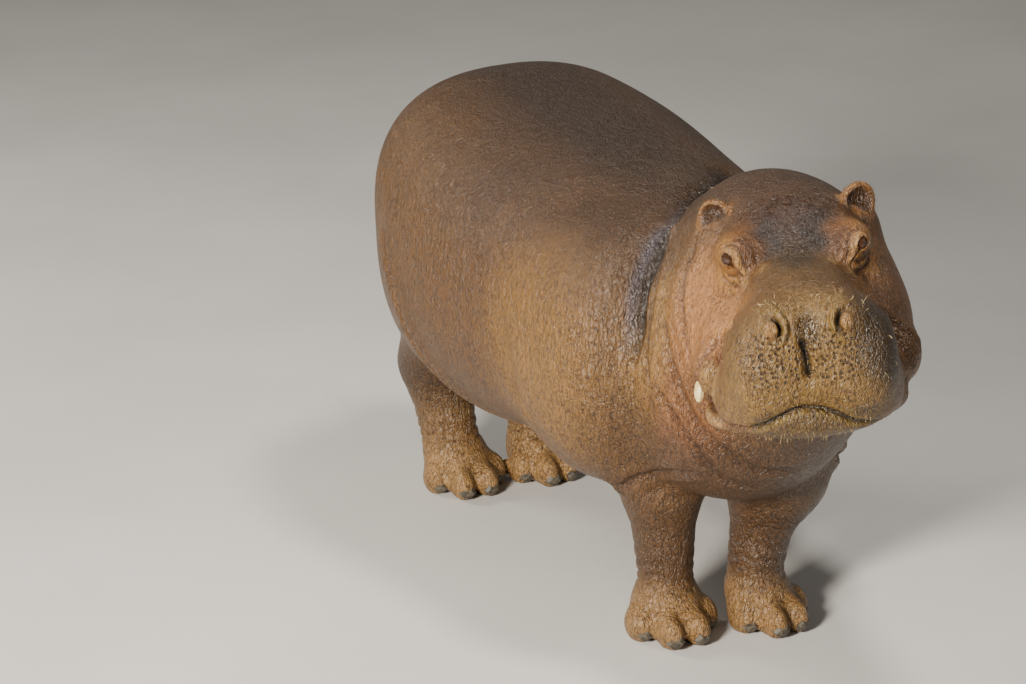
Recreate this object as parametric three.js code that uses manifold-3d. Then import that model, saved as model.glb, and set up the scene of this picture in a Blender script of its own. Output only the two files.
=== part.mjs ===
// A hippopotamus at life size: it stands square on its four feet, with its head raised and
// turned to its right. Millimetres, +Z up; it faces -Y and its left side is +X. The origin is
// the middle of its footprint box, at floor level.
//
// The body is one smooth form, blended from ellipsoids, tapered limbs and a lofted trunk. It is
// turned into flat-faced solids on a grid, and thin cuts part it where a person names its parts.
import * as THREE from "three";
import { mergeVertices } from "three/addons/utils/BufferGeometryUtils.js";
import Module from "manifold-3d";

const wasm = await Module();
wasm.setup();

// ---------------------------------------------------------------- driving dimensions
const UNIT = 1050; // mm in one unit of the proportions below; the wheelbase is 1.22 units
const GAP = 0.3; // mm between pieces that touch along a plane or a ball
const SEAT_GAP = 2.5; // mm round the roots of the ears and the tail
const ORIGIN = [-0.01171, -0.29448, 0]; // middle of the footprint box, in units

// Grid steps of the flat-faced solids, in units
const TRUNK_STEP = 0.098;
const HEAD_STEP = 0.052;
const LEG_STEP = 0.054;
const EAR_STEP = 0.017;
const TAIL_STEP = 0.036;

// Trunk: stations along Y, with the heights of back and belly and the half width at each
const TRUNK_Y = [-0.8, -0.62, -0.42, -0.1, 0.22, 0.48, 0.66, 0.8];
const TRUNK_TOP = [1.03, 1.11, 1.165, 1.23, 1.28, 1.31, 1.3, 1.21];
const TRUNK_BELLY = [0.56, 0.48, 0.45, 0.4, 0.38, 0.43, 0.54, 0.74];
const TRUNK_HALF = [0.34, 0.4, 0.43, 0.48, 0.505, 0.448, 0.385, 0.32];
const TRUNK_SWAY = [0, 0, 0, -0.01, -0.012, -0.016, -0.016, -0.016]; // the spine's bend to the right
const TRUNK_LEAN = [0, 0, 0, 0, 0.08, 0.2, 0.24, 0.2]; // how much wider the back is than the belly
const TRUNK_FULLNESS = 2.4; // section exponent: 2 is an ellipse, more is boxier
const CHEST_ROUNDING = 0.3;
const RUMP_ROUNDING = 0.36;

// Head: its frame has the muzzle along -y and the crown along +z
const HEAD_SIZE = 0.86;
const HEAD_CENTRE = [0.034, -0.877, 1.06];
const HEAD_TURN = { yaw: -30, pitch: 0, roll: -7.5 };
const EAR_SEAT = [0.205, -0.004, 0.213];
const EYE_SEAT = [0.187, -0.266, 0.181];
const EYE_RADIUS = 0.023;
const TUSK_SEATS = { tusk_right: [-0.318, -0.385, -0.168], tusk_left: [0.3, -0.37, -0.168] };
// Corners of the lips, right then left: the mouth is a little open and hangs out on the right
const UPPER_LIP_X = [-0.2, 0.176];
const LOWER_LIP_X = [-0.248, 0.212];

// Legs: each foot's place on the floor, the way it turns and its size, then the shin and the
// upper leg as tapered limbs, each from its lower to its upper end with the two radii
const LEGS = {
  front_right: {
    side: -1,
    foot: { x: -0.134, y: -0.565, yaw: -8, size: 0.92 },
    shin: [[-0.137, -0.565, 0.12], [-0.14, -0.545, 0.38], 0.074, 0.094],
    upper: [[-0.15, -0.555, 0.44], [-0.22, -0.47, 0.72], 0.106, 0.175],
  },
  front_left: {
    side: 1,
    foot: { x: 0.12, y: -0.645, yaw: 4, size: 0.84 },
    shin: [[0.09, -0.645, 0.12], [0.134, -0.635, 0.38], 0.075, 0.094],
    upper: [[0.153, -0.665, 0.44], [0.27, -0.57, 0.66], 0.138, 0.195],
  },
  hind_right: {
    side: -1,
    foot: { x: -0.128, y: 0.61, yaw: -6, size: 0.9 },
    shin: [[-0.14, 0.645, 0.12], [-0.155, 0.705, 0.36], 0.086, 0.096],
    upper: [[-0.155, 0.7, 0.38], [-0.2, 0.52, 0.66], 0.105, 0.17],
  },
  hind_left: {
    side: 1,
    foot: { x: 0.114, y: 0.57, yaw: 6, size: 0.82 },
    shin: [[0.125, 0.6, 0.12], [0.145, 0.67, 0.36], 0.083, 0.092],
    upper: [[0.145, 0.66, 0.38], [0.2, 0.52, 0.66], 0.104, 0.17],
  },
};
const TOES = [
  [-0.105, -0.035],
  [-0.043, -0.12],
  [0.043, -0.12],
  [0.105, -0.035],
];
const NAIL = [0.027, 0.013, 0.022]; // half the width, depth and height of a toenail
const NAIL_HEIGHT = 0.027;

// Heights where the legs are parted, in units
const ANKLE_Z = 0.135;
const KNEE_Z = 0.3;
const FRONT_TOP_Z = 0.44;
const HIND_TOP_Z = 0.44;

// ---------------------------------------------------------------- vectors
const add = (a, b) => [a[0] + b[0], a[1] + b[1], a[2] + b[2]];
const sub = (a, b) => [a[0] - b[0], a[1] - b[1], a[2] - b[2]];
const scaled = (a, k) => [a[0] * k, a[1] * k, a[2] * k];
const dot = (a, b) => a[0] * b[0] + a[1] * b[1] + a[2] * b[2];
const clamp = (v, lo, hi) => Math.min(hi, Math.max(lo, v));

// A turn about z, then the turned x, then the turned y, as three columns (the local axes)
function turn({ yaw = 0, pitch = 0, roll = 0 }) {
  const m = new THREE.Matrix4().makeRotationZ(THREE.MathUtils.degToRad(yaw));
  m.multiply(new THREE.Matrix4().makeRotationX(THREE.MathUtils.degToRad(pitch)));
  m.multiply(new THREE.Matrix4().makeRotationY(THREE.MathUtils.degToRad(roll)));
  const e = m.elements;
  return [e.slice(0, 3), e.slice(4, 7), e.slice(8, 11)];
}
const into = (p, axes) => axes.map((a) => dot(p, a));
const outOf = (p, axes) =>
  add(add(scaled(axes[0], p[0]), scaled(axes[1], p[1])), scaled(axes[2], p[2]));

// ---------------------------------------------------------------- distance to simple forms
function ellipsoid(p, c, r) {
  const x = p[0] - c[0];
  const y = p[1] - c[1];
  const z = p[2] - c[2];
  const near = Math.hypot(x / r[0], y / r[1], z / r[2]);
  const slope = Math.hypot(x / r[0] ** 2, y / r[1] ** 2, z / r[2] ** 2);
  return (near * (near - 1)) / Math.max(slope, 1e-9);
}

// A rounded box-like blob: an ellipsoid with a higher exponent
function blob(p, c, r, n) {
  const q = sub(p, c);
  const f = (Math.abs(q[0] / r[0]) ** n + Math.abs(q[1] / r[1]) ** n + Math.abs(q[2] / r[2]) ** n) ** (1 / n);
  return f > 0.4 ? Math.hypot(...q) * (1 - 1 / f) : -Math.min(...r) * 0.6;
}

// A limb that tapers from radius ra at a to rb at b, with round ends
function limb(p, a, b, ra, rb) {
  const ab = sub(b, a);
  const t = clamp(dot(sub(p, a), ab) / dot(ab, ab), 0, 1);
  return Math.hypot(...sub(p, add(a, scaled(ab, t)))) - (ra + (rb - ra) * t);
}

function blend(a, b, k) {
  const h = Math.max(k - Math.abs(a - b), 0) / k;
  return Math.min(a, b) - h * h * k * 0.25;
}
const carve = (a, b, k) => -blend(-a, b, k); // a without b, with a rounded edge
const joined = (parts, k) => parts.reduce((a, b) => blend(a, b, k));

// A smooth curve through the stations' values, with slopes taken from the neighbours
function along(ys, values, y) {
  const last = ys.length - 1;
  const slope = (i) =>
    (values[Math.min(i + 1, last)] - values[Math.max(i - 1, 0)]) / (ys[Math.min(i + 1, last)] - ys[Math.max(i - 1, 0)]);
  let i = 0;
  while (i < last - 1 && y > ys[i + 1]) i += 1;
  const w = ys[i + 1] - ys[i];
  const t = clamp((y - ys[i]) / w, 0, 1);
  return (
    values[i] * (1 + 2 * t) * (1 - t) ** 2 +
    values[i + 1] * t * t * (3 - 2 * t) +
    slope(i) * w * t * (1 - t) ** 2 -
    slope(i + 1) * w * t * t * (1 - t)
  );
}

// ---------------------------------------------------------------- the animal's forms
function trunk(p) {
  const first = TRUNK_Y[0];
  const last = TRUNK_Y[TRUNK_Y.length - 1];
  const y = clamp(p[1], first, last);
  const top = along(TRUNK_Y, TRUNK_TOP, y);
  const belly = along(TRUNK_Y, TRUNK_BELLY, y);
  const chestEnd = clamp((first + CHEST_ROUNDING - y) / CHEST_ROUNDING, 0, 1);
  const rumpEnd = clamp((y - last + RUMP_ROUNDING) / RUMP_ROUNDING, 0, 1);
  const close = Math.max(Math.sqrt(1 - chestEnd ** 2.2) * Math.sqrt(1 - rumpEnd ** 2.2), 0.02);
  const half = along(TRUNK_Y, TRUNK_HALF, y) * close;
  const tall = ((top - belly) / 2) * close;
  const x = Math.abs(p[0] - along(TRUNK_Y, TRUNK_SWAY, y));
  const height = p[2] - (top + belly) / 2;
  const wide = half * (1 + 0.5 * along(TRUNK_Y, TRUNK_LEAN, y) * clamp(height / tall, -1, 1));
  const z = Math.abs(height);
  const ring = ((x / wide) ** TRUNK_FULLNESS + (z / tall) ** TRUNK_FULLNESS) ** (1 / TRUNK_FULLNESS);
  const d = ring < 0.3 ? (ring - 1) * Math.min(wide, tall) : Math.hypot(x, z) * (1 - 1 / ring);
  const past = Math.max(first - p[1], p[1] - last);
  return past > 0 ? Math.hypot(Math.max(d, 0), past) : d;
}

const HEAD_AXES = turn(HEAD_TURN);
const headPoint = (q) => add(HEAD_CENTRE, outOf(scaled(q, HEAD_SIZE), HEAD_AXES));
const inHead = (p) => scaled(into(sub(p, HEAD_CENTRE), HEAD_AXES), 1 / HEAD_SIZE);

function skull(q) {
  const cranium = blob(q, [0, 0, 0.055], [0.215, 0.27, 0.21], 2.25);
  const cheeks = [-1, 1].map((s) => ellipsoid(q, [s * 0.17, -0.16, -0.1], [0.155, 0.25, 0.18]));
  let d = joined([cranium, ...cheeks, ellipsoid(q, [0, -0.38, 0.05], [0.165, 0.28, 0.13])], 0.1);
  d = blend(d, blob(q, [0, -0.57, -0.025], [0.205, 0.15, 0.172], 2.6), 0.08);
  for (const s of [-1, 1]) {
    const lip = blob(q, [s * 0.13, -0.57, -0.055], [0.115, 0.155, 0.155], 2.4);
    const nostril = ellipsoid(q, [s * 0.092, -0.64, 0.092], [0.062, 0.07, 0.06]);
    const corner = ellipsoid(q, [UPPER_LIP_X[s < 0 ? 0 : 1], -0.495, -0.155], [0.083, 0.13, 0.105]);
    d = blend(d, joined([lip, nostril, corner], 0.05), 0.05);
    d = blend(d, ellipsoid(q, [s * 0.163, -0.205, 0.172], [0.062, 0.09, 0.056]), 0.05);
    d = blend(d, ellipsoid(q, [s * 0.209, 0.03, 0.145], [0.042, 0.065, 0.056]), 0.04);
  }
  return d;
}

function jaw(q) {
  const throat = ellipsoid(q, [0, -0.33, -0.165], [0.25, 0.33, 0.115]);
  let d = blend(throat, blob(q, [0, -0.56, -0.175], [0.225, 0.145, 0.08], 2.5), 0.05);
  for (const s of [-1, 1]) d = blend(d, ellipsoid(q, [s * 0.264, -0.315, -0.14], [0.066, 0.125, 0.09]), 0.05);
  for (const x of LOWER_LIP_X) d = blend(d, ellipsoid(q, [x, -0.43, -0.222], [0.062, 0.09, 0.045]), 0.03);
  return d;
}

const head = (p) => {
  const q = inHead(p);
  return HEAD_SIZE * blend(skull(q), jaw(q), 0.03);
};

// A small round cup on the corner of the crown, open forward and outward
function ear(p, side) {
  const axes = turn({ yaw: side * 18, roll: side * 22 });
  const q = into(sub(inHead(p), [side * EAR_SEAT[0], EAR_SEAT[1], EAR_SEAT[2]]), axes);
  const shell = ellipsoid(q, [0, 0, 0], [0.058, 0.03, 0.066]);
  const hollow = ellipsoid(q, [side * 0.006, -0.036, 0.012], [0.04, 0.028, 0.046]);
  return HEAD_SIZE * carve(shell, hollow, 0.012);
}

function neck(p) {
  const dewlap = ellipsoid(p, [0.015, -0.74, 0.81], [0.335, 0.29, 0.35]);
  const column = limb(p, [0.035, -0.66, 0.93], headPoint([0, 0.023, -0.035]), 0.3, 0.24);
  const nape = ellipsoid(p, [0.045, -0.72, 1.12], [0.22, 0.18, 0.18]);
  return blend(blend(dewlap, column, 0.08), nape, 0.06);
}

function tail(p) {
  const root = limb(p, [0, 0.74, 1.1], [0, 0.845, 0.92], 0.065, 0.045);
  return blend(root, limb(p, [0, 0.845, 0.92], [0, 0.86, 0.66], 0.044, 0.026), 0.03);
}

function shoulder(p, s) {
  const blade = ellipsoid(p, [s * 0.25, -0.42, 0.76], [0.2, 0.25, 0.34]);
  return blend(blade, ellipsoid(p, [0, -0.66, 0.625], [0.22, 0.2, 0.17]), 0.08);
}

const haunch = (p, s) => ellipsoid(p, [s * 0.2 - 0.008, 0.44, 0.71], [0.192, 0.24, 0.28]);

function foot(p, { x, y, yaw, size }) {
  const q = into(sub(p, [x, y, 0]), turn({ yaw }));
  let d = ellipsoid(q, [0, 0, 0.062], [0.106 * size, 0.116 * size, 0.08]);
  for (const [tx, ty] of TOES) {
    const toe = ellipsoid(q, [tx * size, ty * size, 0.04], [0.038 * size, 0.06 * size, 0.05]);
    d = blend(d, toe, 0.03);
  }
  return d;
}

function wholeLeg(p, leg) {
  return blend(blend(limb(p, ...leg.shin), limb(p, ...leg.upper), 0.08), foot(p, leg.foot), 0.05);
}

const LEG_FORMS = Object.values(LEGS).map((leg) => (p) => wholeLeg(p, leg));

// Everything but the ears and the tail, with the legs that are asked for
function flesh(p, legs = LEG_FORMS) {
  let d = blend(trunk(p), neck(p), 0.05);
  for (const s of [-1, 1]) d = blend(d, shoulder(p, s), 0.12);
  for (const s of [-1, 1]) d = blend(d, haunch(p, s), 0.12);
  d = blend(d, Math.min(...legs.map((leg) => leg(p))), 0.05);
  return blend(d, head(p), 0.1);
}

// ---------------------------------------------------------------- from forms to solids
function manifold(vertices, triangles) {
  return new wasm.Manifold(
    new wasm.Mesh({
      numProp: 3,
      vertProperties: Float32Array.from(vertices),
      triVerts: Uint32Array.from(triangles),
    }),
  );
}

// Two sheets of the surface would share an edge where a grid face has its inside corners across
// a diagonal, so the corner nearest to the surface changes side there
function untangle(field, n, stride, step) {
  let changed = true;
  while (changed) {
    changed = false;
    for (let here = 0; here < field.length; here += 1) {
      const index = [Math.floor(here / stride[0]), Math.floor(here / n[2]) % n[1], here % n[2]];
      for (const [u, v] of [[0, 1], [1, 2], [0, 2]]) {
        if (index[u] === n[u] - 1 || index[v] === n[v] - 1) continue;
        const face = [here, here + stride[u], here + stride[u] + stride[v], here + stride[v]];
        const inside = face.map((c) => field[c] < 0);
        if (inside[0] !== inside[2] || inside[1] !== inside[3] || inside[0] === inside[1]) continue;
        const weakest = face.reduce((a, b) => (Math.abs(field[b]) < Math.abs(field[a]) ? b : a));
        field[weakest] = field[weakest] < 0 ? step * 0.01 : -step * 0.01;
        changed = true;
      }
    }
  }
}

// The surface where form(p) is 0 inside the box lo..hi, one vertex per grid cell it passes
function solidOf(form, lo, hi, step) {
  const n = [0, 1, 2].map((i) => Math.ceil((hi[i] - lo[i]) / step) + 1);
  const at = (i, j, k) => (i * n[1] + j) * n[2] + k;
  const field = new Float32Array(n[0] * n[1] * n[2]);
  for (let i = 0; i < n[0]; i += 1)
    for (let j = 0; j < n[1]; j += 1)
      for (let k = 0; k < n[2]; k += 1) {
        const rim = [i, j, k].some((v, m) => v === 0 || v === n[m] - 1);
        const d = form([lo[0] + i * step, lo[1] + j * step, lo[2] + k * step]);
        field[at(i, j, k)] = rim ? Math.max(d, step * 0.3) : d;
      }
  untangle(field, n, [n[1] * n[2], n[2], 1], step);
  const corners = [0, 1, 2, 3, 4, 5, 6, 7].map((c) => [c >> 2, (c >> 1) & 1, c & 1]);
  const vertices = [];
  const cell = new Map();
  for (let i = 0; i < n[0] - 1; i += 1)
    for (let j = 0; j < n[1] - 1; j += 1)
      for (let k = 0; k < n[2] - 1; k += 1) {
        const value = corners.map(([a, b, c]) => field[at(i + a, j + b, k + c)]);
        if (value.every((v) => v < 0) || value.every((v) => v >= 0)) continue;
        const sum = [0, 0, 0];
        let count = 0;
        corners.forEach((from, f) => {
          for (const axis of [4, 2, 1]) {
            const t = f | axis;
            if (t === f || value[f] < 0 === value[t] < 0) continue;
            const part = value[f] / (value[f] - value[t]);
            corners[t].forEach((v, m) => (sum[m] += from[m] + (v - from[m]) * part));
            count += 1;
          }
        });
        cell.set(at(i, j, k), vertices.length / 3);
        [i, j, k].forEach((v, m) => vertices.push((lo[m] + (v + sum[m] / count) * step - ORIGIN[m]) * UNIT));
      }
  const triangles = [];
  const length = (a, b) =>
    Math.hypot(...[0, 1, 2].map((m) => vertices[3 * a + m] - vertices[3 * b + m]));
  const stride = [n[1] * n[2], n[2], 1];
  for (let i = 0; i < n[0] - 1; i += 1)
    for (let j = 0; j < n[1] - 1; j += 1)
      for (let k = 0; k < n[2] - 1; k += 1) {
        const here = at(i, j, k);
        for (const axis of [0, 1, 2]) {
          const inside = field[here] < 0;
          if (inside === field[here + stride[axis]] < 0) continue;
          const u = stride[(axis + 1) % 3];
          const v = stride[(axis + 2) % 3];
          const ring = [here - u - v, here - v, here, here - u].map((c) => cell.get(c));
          if (!inside) ring.reverse();
          const [a, b, c, d] = ring;
          if (length(a, c) < length(b, d)) triangles.push(a, b, c, a, c, d);
          else triangles.push(a, b, d, b, c, d);
        }
      }
  return manifold(vertices, triangles);
}

// A three.js geometry, placed by a matrix, as a solid
function solidFrom(geometry, matrix) {
  const g = geometry.clone();
  g.deleteAttribute("normal");
  g.deleteAttribute("uv");
  const merged = mergeVertices(g.applyMatrix4(matrix), 1e-4);
  return manifold(merged.attributes.position.array, merged.index.array);
}

// A matrix for a piece at a place in units, along three axes, with sizes in mm
function placed(at, axes, sizes) {
  const m = new THREE.Matrix4().makeBasis(...axes.map((a) => new THREE.Vector3(...a)));
  m.setPosition(...scaled(sub(at, ORIGIN), UNIT));
  return m.multiply(new THREE.Matrix4().makeScale(...sizes));
}

const WORLD = turn({});
const CUBE = new THREE.BoxGeometry(1, 1, 1);
const FAR = 5; // units: longer than the animal

// A box between two corners in units along the given axes, grown by a margin in mm
function box(lo, hi, margin, axes = WORLD, from = [0, 0, 0]) {
  const middle = scaled(add(lo, hi), 0.5);
  const sizes = sub(hi, lo).map((v) => v * UNIT + 2 * margin);
  return solidFrom(CUBE, placed(add(from, outOf(middle, axes)), axes, sizes));
}

const largest = (solid) => solid.decompose().sort((a, b) => b.volume() - a.volume())[0];

// What lies inside the box and what lies outside it, with the gap between them
function partByBox(solid, lo, hi, axes, from) {
  const inside = solid.intersect(box(lo, hi, -GAP / 2, axes, from));
  return [largest(inside), largest(solid.subtract(box(lo, hi, GAP / 2, axes, from)))];
}

// The two sides of the plane through a point in units: ahead of it along the normal, then behind
function partByPlane(solid, point, normal) {
  const z = new THREE.Vector3(...normal).normalize();
  const x = new THREE.Vector3(1, 0, 0).cross(z).normalize();
  const axes = [x.toArray(), z.clone().cross(x).toArray(), z.toArray()];
  return partByBox(solid, [-FAR, -FAR, 0], [FAR, FAR, FAR], axes, point);
}

// ---------------------------------------------------------------- the pieces
const model = new THREE.Group();
const MATERIALS = {
  skin: { color: 0x7d5c3a, roughness: 0.55, metalness: 0 },
  eye: { color: 0x20120b, roughness: 0.1, metalness: 0 },
  nail: { color: 0x55503f, roughness: 0.5, metalness: 0 },
  tusk: { color: 0xd9c489, roughness: 0.4, metalness: 0 },
};

function piece(name, solid, kind) {
  const mesh = solid.getMesh();
  const geometry = new THREE.BufferGeometry();
  geometry.setAttribute("position", new THREE.BufferAttribute(Float32Array.from(mesh.vertProperties), 3));
  geometry.setIndex(new THREE.BufferAttribute(Uint32Array.from(mesh.triVerts), 1));
  geometry.computeVertexNormals();
  const part = new THREE.Mesh(geometry, new THREE.MeshStandardMaterial(MATERIALS[kind]));
  part.name = name;
  model.add(part);
}

const headToWorld = (v) => outOf(v, HEAD_AXES);
const body = solidOf(flesh, [-0.75, -1.35, 0.2], [0.75, 1.05, 1.5], TRUNK_STEP);

// Head: the fine solid ahead of a slanting plane from the nape to the throat
const headBlock = solidOf(flesh, [-0.75, -1.62, 0.5], [0.6, -0.4, 1.45], HEAD_STEP);
const NAPE = headPoint([0, 0.2, 0.2]);
const NECK_NORMAL = headToWorld([0, -0.72, 0.69]);
let [headSolid] = partByPlane(headBlock, NAPE, NECK_NORMAL);
const [, behindHead] = partByPlane(body, NAPE, NECK_NORMAL);

// A form grown by its gap, to cut its seat in what carries it
const grown = (form) => (p) => form(p) - SEAT_GAP / UNIT;

// Ears: cups rooted in the corners of the crown
for (const [side, name] of [[-1, "ear_right"], [1, "ear_left"]]) {
  const seat = headPoint([side * EAR_SEAT[0], EAR_SEAT[1], EAR_SEAT[2]]);
  const reach = [0.085, 0.085, 0.085];
  const cup = (form) => solidOf(form, sub(seat, reach), add(seat, reach), EAR_STEP);
  const form = (p) => ear(p, side);
  headSolid = largest(headSolid.subtract(cup(grown(form))));
  piece(name, cup(form), "skin");
}

// Eyes: balls that show a little past the lids
for (const [side, name] of [[-1, "eye_right"], [1, "eye_left"]]) {
  const seat = headPoint([side * EYE_SEAT[0], EYE_SEAT[1], EYE_SEAT[2]]);
  const ball = (r) => solidFrom(new THREE.SphereGeometry(r, 12, 8), placed(seat, HEAD_AXES, [1, 1, 1]));
  headSolid = largest(headSolid.subtract(ball(EYE_RADIUS * UNIT + GAP)));
  piece(name, ball(EYE_RADIUS * UNIT), "eye");
}

// Lower tusks: only their tips show, at the corners of the mouth
for (const [name, place] of Object.entries(TUSK_SEATS)) {
  const seat = headPoint(place);
  const axes = turn({ ...HEAD_TURN, roll: HEAD_TURN.roll + Math.sign(place[0]) * 25, pitch: 80 });
  const cone = (grow) =>
    solidFrom(new THREE.SphereGeometry(1, 8, 6), placed(seat, axes, [14 + grow, 30 + grow, 13 + grow]));
  headSolid = largest(headSolid.subtract(cone(GAP)));
  piece(name, cone(0), "tusk");
}

// Lower jaw: below the lip line, from the chin back to the corner of the mouth
const jawAxes = turn({ ...HEAD_TURN, pitch: HEAD_TURN.pitch - 4 });
const [jawSolid, upper] = partByBox(headSolid, [-1, -0.9, -0.6], [1, -0.16, -0.128], jawAxes, HEAD_CENTRE);
const [muzzleSolid, skullSolid] = partByPlane(upper, headPoint([0, -0.42, 0]), headToWorld([0, -1, 0]));
piece("lower_jaw", jawSolid, "skin");
piece("muzzle", muzzleSolid, "skin");
piece("head", skullSolid, "skin");

// Neck: between the head and the deep fold in front of the shoulders
const [neckSolid, bodySolid] = partByPlane(behindHead, [0, -0.56, 1.2], [0, -0.9, 0.437]);
piece("neck", neckSolid, "skin");
let trunkSolid = bodySolid;

// Tail: rooted high on the rump and hanging close against it
const tailCord = (form) => solidOf(form, [-0.1, 0.64, 0.58], [0.1, 0.95, 1.2], TAIL_STEP);
trunkSolid = largest(trunkSolid.subtract(tailCord(grown(tail))));
piece("tail", tailCord(tail), "skin");

// Legs: upper leg, lower leg and foot, with four nails on each foot
Object.entries(LEGS).forEach(([name, { side, foot: sole }], index) => {
  const front = name.startsWith("front");
  const near = side > 0 ? 0 : -0.45;
  const lo = [near, front ? -0.95 : 0.3, -0.1];
  const hi = [near + 0.45, front ? -0.38 : 0.9, front ? FRONT_TOP_Z : HIND_TOP_Z];
  [, trunkSolid] = partByBox(trunkSolid, lo, hi);
  const form = (p) => flesh(p, [LEG_FORMS[index]]);
  const block = solidOf(form, sub(lo, [0.1, 0.1, 0]), add(hi, [0.1, 0.1, 0.1]), LEG_STEP);
  const [whole] = partByBox(block, lo, hi);
  const [upperLeg, belowKnee] = partByPlane(whole, [0, 0, KNEE_Z], [0, 0, 1]);
  const [shin, footBlock] = partByPlane(belowKnee, [0, 0, ANKLE_Z], [0, 0, 1]);
  piece(`${name}_upper_leg`, upperLeg, "skin");
  piece(`${name}_lower_leg`, shin, "skin");

  let footSolid = largest(footBlock.intersect(box([-FAR, -FAR, 0], [FAR, FAR, FAR], 0)));
  TOES.forEach(([tx, ty], i) => {
    const splay = turn({ yaw: sole.yaw + tx * 260, pitch: 20 });
    const tip = outOf([tx * sole.size, (ty - 0.045) * sole.size, NAIL_HEIGHT], turn({ yaw: sole.yaw }));
    const nail = (grow) =>
      solidFrom(
        new THREE.SphereGeometry(1, 6, 4),
        placed(add([sole.x, sole.y, 0], tip), splay, NAIL.map((v) => v * UNIT + grow)),
      );
    footSolid = largest(footSolid.subtract(nail(GAP)));
    piece(`${name}_nail_${i + 1}`, nail(0), "nail");
  });
  piece(`${name}_foot`, footSolid, "skin");
});
piece("trunk", trunkSolid, "skin");

export default model;
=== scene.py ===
import math
import bmesh
import bpy
import numpy as np
from mathutils import Matrix, Vector


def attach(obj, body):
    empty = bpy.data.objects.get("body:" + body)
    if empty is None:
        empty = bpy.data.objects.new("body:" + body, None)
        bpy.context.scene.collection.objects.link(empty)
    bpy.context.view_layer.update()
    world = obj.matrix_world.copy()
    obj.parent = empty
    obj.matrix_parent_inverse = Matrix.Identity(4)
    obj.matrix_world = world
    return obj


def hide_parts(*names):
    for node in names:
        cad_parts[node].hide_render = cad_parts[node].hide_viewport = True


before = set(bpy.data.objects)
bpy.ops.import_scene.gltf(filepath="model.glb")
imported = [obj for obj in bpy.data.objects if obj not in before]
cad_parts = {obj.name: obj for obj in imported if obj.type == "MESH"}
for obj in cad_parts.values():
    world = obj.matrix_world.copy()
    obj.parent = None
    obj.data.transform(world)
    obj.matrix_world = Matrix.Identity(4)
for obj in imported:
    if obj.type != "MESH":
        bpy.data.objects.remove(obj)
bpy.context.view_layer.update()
rng = np.random.default_rng(7)

# ---------------------------------------------------------------- sizes
# The forms are drawn in units of 1.05 m, in the same frame as the CAD part.
UNIT = 1.05
ORIGIN = np.array([-0.01171, -0.29448, 0])
STEP = 0.0169  # grid of the skin, before it is split on the head and feet
INSET = 0.0012  # how deep the skin lies inside the solids
BODY_LO, BODY_HI = (-0.6, -1.62, -0.02), (0.6, 1.0, 1.44)  # the grid's box
LOWER_LEG_TOP = 0.27

TRUNK_Y = np.array([-0.8, -0.62, -0.42, -0.1, 0.22, 0.48, 0.66, 0.8])
TRUNK_TOP = np.array([1.03, 1.11, 1.165, 1.23, 1.28, 1.31, 1.3, 1.21])
TRUNK_BELLY = np.array([0.56, 0.48, 0.45, 0.4, 0.38, 0.43, 0.54, 0.74])
TRUNK_HALF = np.array([0.34, 0.4, 0.43, 0.48, 0.505, 0.448, 0.385, 0.32])
TRUNK_SWAY = np.array([0, 0, 0, -0.01, -0.012, -0.016, -0.016, -0.016])
TRUNK_LEAN = np.array([0, 0, 0, 0, 0.08, 0.2, 0.24, 0.2])
HEAD_SIZE = 0.86
HEAD_CENTRE = np.array([0.034, -0.877, 1.06])
EAR_SEAT = np.array([0.205, -0.004, 0.213])
EAR_WIDTH, EAR_HEIGHT = 0.058, 0.066
NOSTRIL_X, NOSTRIL_Z = 0.104, 0.108
NECK_MIDDLE = np.array([0.034, -0.877, 0.98])
UPPER_LIP_X = (-0.2, 0.176)
LOWER_LIP_X = (-0.248, 0.212)
EYE_SEAT = np.array([0.187, -0.266, 0.181])
EYE_RADIUS = 0.023
TAIL_END = np.array([0, 0.86, 0.66])
# each leg: the foot's x, y, turn and size, then shin and upper leg with their end radii
LEGS = [
    ((-0.134, -0.565, -8, 0.92), ((-0.137, -0.565, 0.12), (-0.14, -0.545, 0.38), 0.074, 0.094),
     ((-0.15, -0.555, 0.44), (-0.22, -0.47, 0.72), 0.106, 0.175)),
    ((0.12, -0.645, 4, 0.84), ((0.09, -0.645, 0.12), (0.134, -0.635, 0.38), 0.075, 0.094),
     ((0.153, -0.665, 0.44), (0.27, -0.57, 0.66), 0.138, 0.195)),
    ((-0.128, 0.61, -6, 0.9), ((-0.14, 0.645, 0.12), (-0.155, 0.705, 0.36), 0.086, 0.096),
     ((-0.155, 0.7, 0.38), (-0.2, 0.52, 0.66), 0.105, 0.17)),
    ((0.114, 0.57, 6, 0.82), ((0.125, 0.6, 0.12), (0.145, 0.67, 0.36), 0.083, 0.092),
     ((0.145, 0.66, 0.38), (0.2, 0.52, 0.66), 0.104, 0.17)),
]


def turn(yaw=0, pitch=0, roll=0):
    a, b, c = np.radians([yaw, pitch, roll])
    z = np.array([[np.cos(a), -np.sin(a), 0], [np.sin(a), np.cos(a), 0], [0, 0, 1]])
    x = np.array([[1, 0, 0], [0, np.cos(b), -np.sin(b)], [0, np.sin(b), np.cos(b)]])
    y = np.array([[np.cos(c), 0, np.sin(c)], [0, 1, 0], [-np.sin(c), 0, np.cos(c)]])
    return z @ x @ y


HEAD_AXES = turn(-30, 0, -7.5)


def in_head(p):
    return (p - HEAD_CENTRE) @ HEAD_AXES / HEAD_SIZE


def out_of_head(q):
    return HEAD_CENTRE + HEAD_AXES @ np.asarray(q, float) * HEAD_SIZE


def in_row(p):
    return (np.asarray(p) - ORIGIN) * UNIT


# ---------------------------------------------------------------- distance to simple forms
def ellipsoid(p, centre, radii, axes=None):
    q = p - np.asarray(centre, float)
    if axes is not None:
        q = q @ axes
    r = np.asarray(radii, float)
    k0 = np.linalg.norm(q / r, axis=-1)
    k1 = np.linalg.norm(q / (r * r), axis=-1)
    return k0 * (k0 - 1) / np.maximum(k1, 1e-9)


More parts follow.
